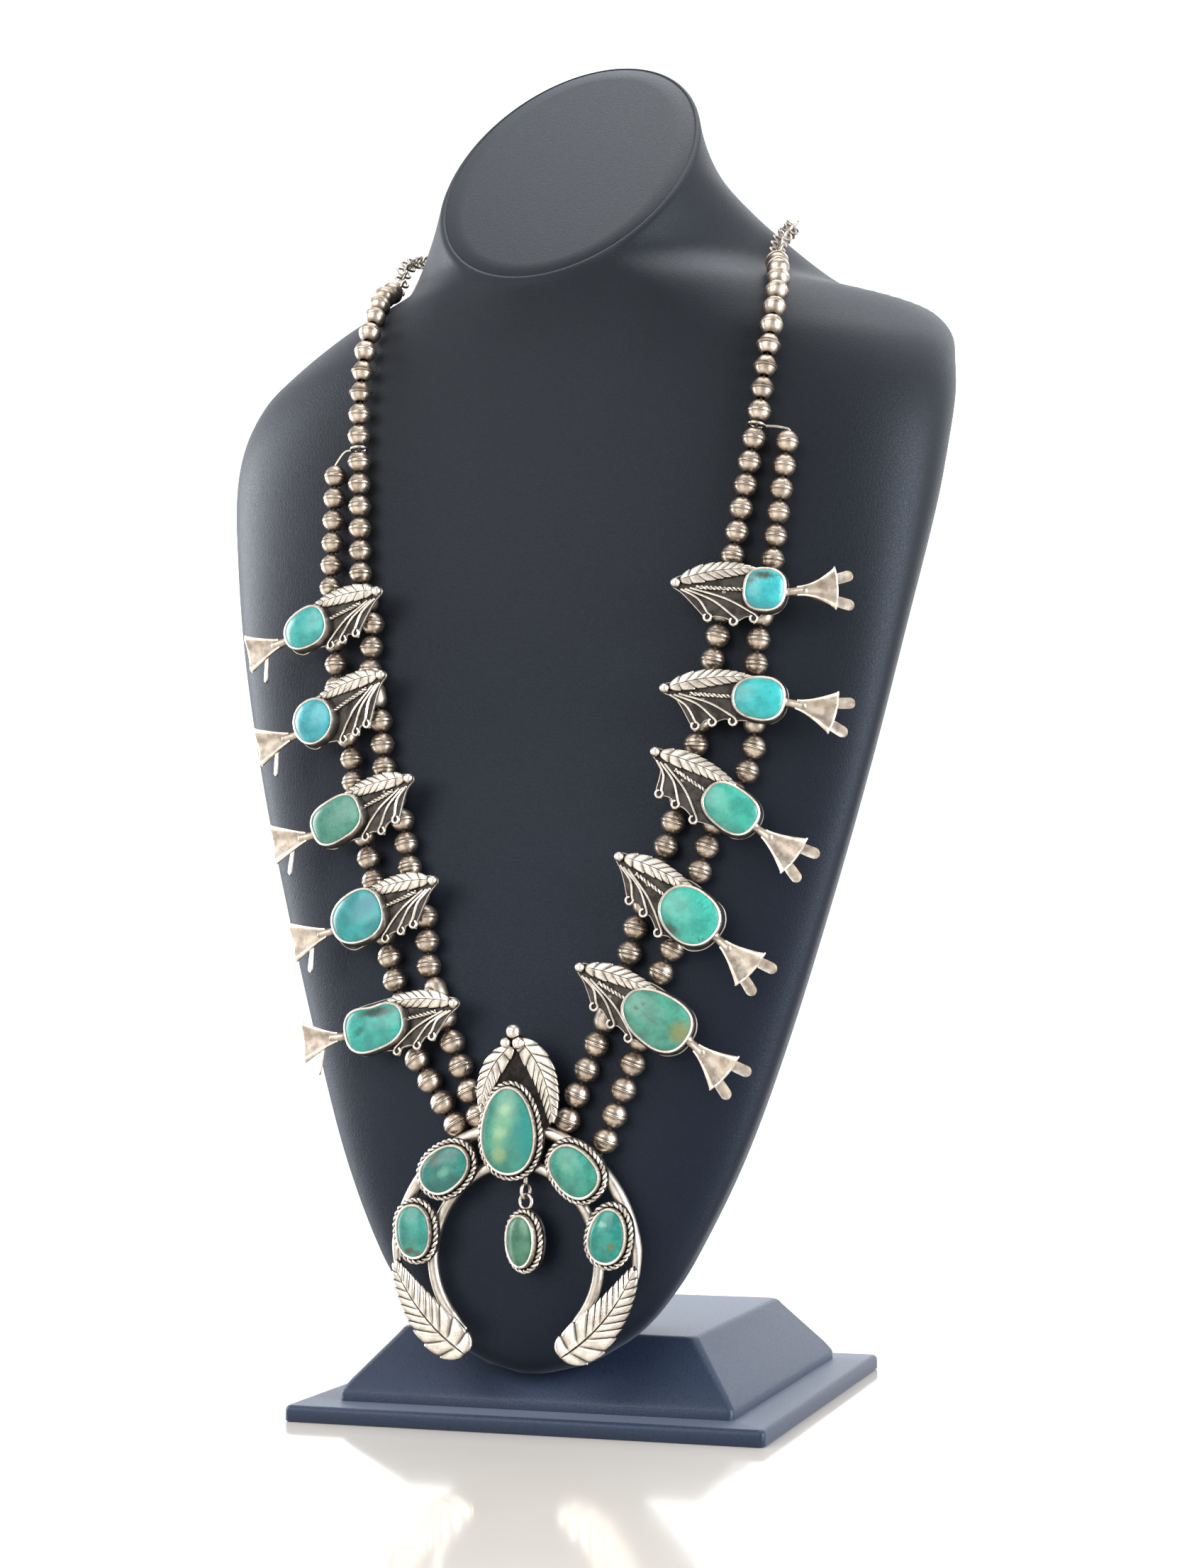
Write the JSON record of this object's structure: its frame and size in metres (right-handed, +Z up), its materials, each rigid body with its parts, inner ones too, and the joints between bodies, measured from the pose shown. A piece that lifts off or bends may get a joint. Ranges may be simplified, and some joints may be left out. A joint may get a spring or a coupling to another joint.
{
  "type": "squash blossom necklace on a black neck bust",
  "caption": "Oxidised silver and turquoise squash blossom necklace with a crescent naja and a small drop, worn by a black leatherette neck bust on a stepped square base",
  "frame": {"origin": "on the surface it stands on, under the middle of the base plate", "axes": "+Z up; the necklace faces -Y; +X to the viewer's right"},
  "size_m": [0.2244, 0.1444, 0.4108],
  "materials": {
    "leatherette": "fine-grained black leatherette, semi-gloss",
    "dark_silver": "oxidised silver with bright raised edges",
    "bead_silver": "softly brushed, lightly tarnished silver",
    "turquoise": "polished opaque turquoise cabochon",
    "cord": "dark waxed cord"
  },
  "bodies": {
    "necklace_and_bust": {"base_plate": "leatherette", "base_block": "leatherette", "bust_form": "leatherette", "blossom_left_1": "dark_silver", "blossom_left_2": "dark_silver", "blossom_left_3": "dark_silver", "blossom_left_4": "dark_silver", "blossom_left_5": "dark_silver", "blossom_right_1": "dark_silver", "blossom_right_2": "dark_silver", "blossom_right_3": "dark_silver", "blossom_right_4": "dark_silver", "blossom_right_5": "dark_silver", "stone_left_1": "turquoise", "stone_left_2": "turquoise", "stone_left_3": "turquoise", "stone_left_4": "turquoise", "stone_left_5": "turquoise", "stone_right_1": "turquoise", "stone_right_2": "turquoise", "stone_right_3": "turquoise", "stone_right_4": "turquoise", "stone_right_5": "turquoise", "naja": "dark_silver", "naja_stone_centre": "turquoise", "naja_stone_upper_left": "turquoise", "naja_stone_upper_right": "turquoise", "naja_stone_lower_left": "turquoise", "naja_stone_lower_right": "turquoise", "beads_upper_left": "bead_silver", "beads_upper_right": "bead_silver", "beads_inner_left": "bead_silver", "beads_outer_left": "bead_silver", "beads_inner_right": "bead_silver", "beads_outer_right": "bead_silver", "thread_left": "cord", "thread_right": "cord", "thread_outer_left": "cord", "thread_outer_right": "cord", "strand_ring_left": "bead_silver", "strand_ring_right": "bead_silver", "clasp_hook": "bead_silver", "back_chain": "bead_silver"},
    "drop": {"drop": "dark_silver", "drop_stone": "turquoise"}
  },
  "joints": [
    {"name": "drop_swing", "type": "hinge", "parent": "necklace_and_bust", "child": "drop", "pos_m": [0.0038, -0.0702, 0.0625], "axis": [-0.309, -0.9511, 0], "range_deg": [-25, 45]}
  ]
}
